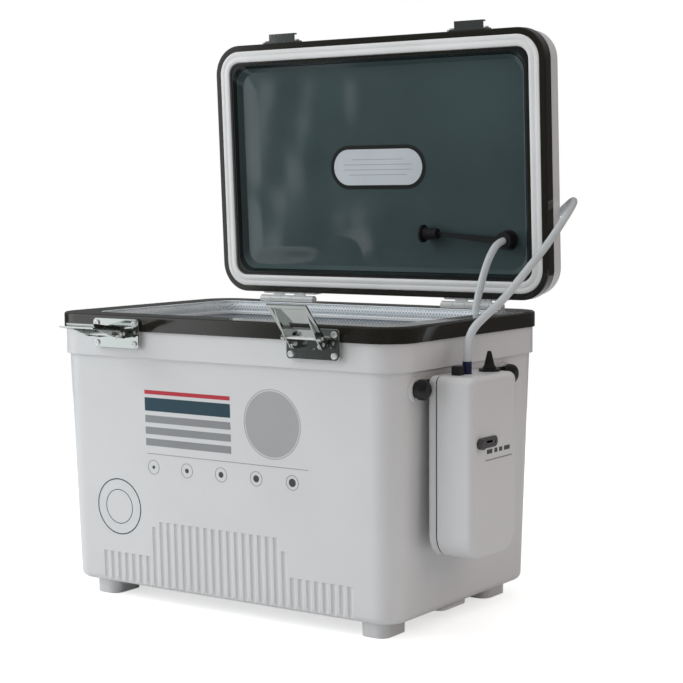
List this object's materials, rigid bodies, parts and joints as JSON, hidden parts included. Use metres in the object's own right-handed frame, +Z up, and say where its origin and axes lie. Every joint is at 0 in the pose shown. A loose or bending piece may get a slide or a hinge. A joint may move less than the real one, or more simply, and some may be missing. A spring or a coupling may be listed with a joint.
{
  "type": "aerated bait bucket",
  "caption": "Insulated live-bait box with a hinged lid on draw latches, a net lining and a side-hung battery air pump feeding a stone through a hose.",
  "frame": {"origin": "on the floor, under the centre of the box's body", "axes": "+X to the right seen from the latches, +Y to the back, +Z up"},
  "size_m": [0.4299, 0.376, 0.5305],
  "materials": {
    "white_shell": "smooth moulded",
    "white_liner": "smooth moulded",
    "dark_rim": "glossy moulded",
    "lid_lining": "glossy moulded",
    "foam": "closed-cell foam",
    "gasket": "matte",
    "label": "satin film",
    "stainless": "bright",
    "latch_steel": "mirror bright",
    "black_rubber": "matte",
    "black_plastic": "satin",
    "navy_plastic": "satin",
    "grey_plastic": "satin",
    "hose": "milky translucent",
    "netting": "knotted mesh",
    "white_plastic": "smooth moulded",
    "porous_stone": "porous",
    "cell_metal": "printed sleeve",
    "motor_steel": "zinc plated",
    "contact_brass": "bright"
  },
  "bodies": {
    "box": {"body_shell": "white_shell", "body_foam": "foam", "inner_liner": "white_liner", "body_rim": "dark_rim", "bait_net": "netting", "net_hoop": "white_plastic", "hinge_leaf_body_left": "stainless", "hinge_leaf_body_right": "stainless", "hinge_pin_left": "stainless", "hinge_pin_right": "stainless", "hinge_screws_body": "stainless", "latch_plate_left": "latch_steel", "latch_plate_right": "latch_steel", "latch_screws": "stainless", "lever_pivots": "stainless", "pump_bracket": "black_plastic", "bracket_knobs": "black_plastic", "pump_clip": "black_plastic", "pump_shell_back": "white_shell", "pump_shell_front": "white_shell", "pump_seal": "navy_plastic", "pump_screws": "stainless", "switch_flange": "black_plastic", "switch_body": "black_plastic", "top_catch": "black_plastic", "slider_plate": "grey_plastic", "battery_cells": "cell_metal", "battery_contacts": "contact_brass", "pump_bulkhead": "white_plastic", "pump_motor": "motor_steel", "diaphragm_unit": "black_rubber", "air_pipe": "hose", "air_spigot": "navy_plastic", "air_hose_outer": "hose", "air_hose_inner": "hose", "air_stone": "porous_stone"},
    "lid": {"lid_shell": "white_shell", "lid_rim": "dark_rim", "lid_gasket": "gasket", "lid_panel": "lid_lining", "lid_foam": "foam", "lid_label": "label", "hinge_leaf_lid_left": "stainless", "hinge_leaf_lid_right": "stainless", "hinge_screws_lid": "stainless", "keeper_left": "latch_steel", "keeper_right": "latch_steel", "keeper_screws": "stainless", "hose_grommet": "black_rubber", "plug_tether": "black_rubber"},
    "lever_left": {"latch_lever_left": "latch_steel", "bail_pin_left": "stainless"},
    "lever_right": {"latch_lever_right": "latch_steel", "bail_pin_right": "stainless"},
    "bail_left": {"latch_bail_left": "latch_steel"},
    "bail_right": {"latch_bail_right": "latch_steel"},
    "toggle": {"toggle_boot": "black_rubber"},
    "slider": {"slider_knob": "grey_plastic"},
    "crank": {"motor_crank": "white_plastic"}
  },
  "joints": [
    {"name": "lid_hinge", "type": "hinge", "parent": "box", "child": "lid", "pos_m": [0, 0.1319, 0.26355], "axis": [1, 0, 0], "range_deg": [0, 87.3], "deforming": ["air_hose_outer", "air_hose_inner"]},
    {"name": "lever_hinge_left", "type": "hinge", "parent": "box", "child": "lever_left", "pos_m": [-0.1085, -0.136, 0.247], "axis": [1, 0, 0], "range_deg": [-56, 99]},
    {"name": "lever_hinge_right", "type": "hinge", "parent": "box", "child": "lever_right", "pos_m": [0.1085, -0.136, 0.247], "axis": [1, 0, 0], "range_deg": [-17, 138]},
    {"name": "bail_swing_left", "type": "hinge", "parent": "lever_left", "child": "bail_left", "pos_m": [-0.1085, -0.14512, 0.24693], "axis": [1, 0, 0], "range_deg": [-180, 102]},
    {"name": "bail_swing_right", "type": "hinge", "parent": "lever_right", "child": "bail_right", "pos_m": [0.1085, -0.14314, 0.25268], "axis": [1, 0, 0], "range_deg": [-180, 23]},
    {"name": "toggle_tilt", "type": "hinge", "parent": "box", "child": "toggle", "pos_m": [0.215, -0.022, 0.2215], "axis": [1, 0, 0], "range_deg": [-12, 12]},
    {"name": "speed_slide", "type": "slide", "parent": "box", "child": "slider", "axis": [0, 1, 0], "range_m": [0, 0.024]},
    {"name": "crank_spin", "type": "hinge", "parent": "box", "child": "crank", "pos_m": [0.21175, -0.044, 0.164], "axis": [0, 1, 0], "continuous": true}
  ],
  "couplings": [
    {"joint": "bail_swing_left", "follows": "lever_hinge_left", "ratio": -1.8182},
    {"joint": "bail_swing_right", "follows": "lever_hinge_right", "ratio": -1.3043}
  ]
}
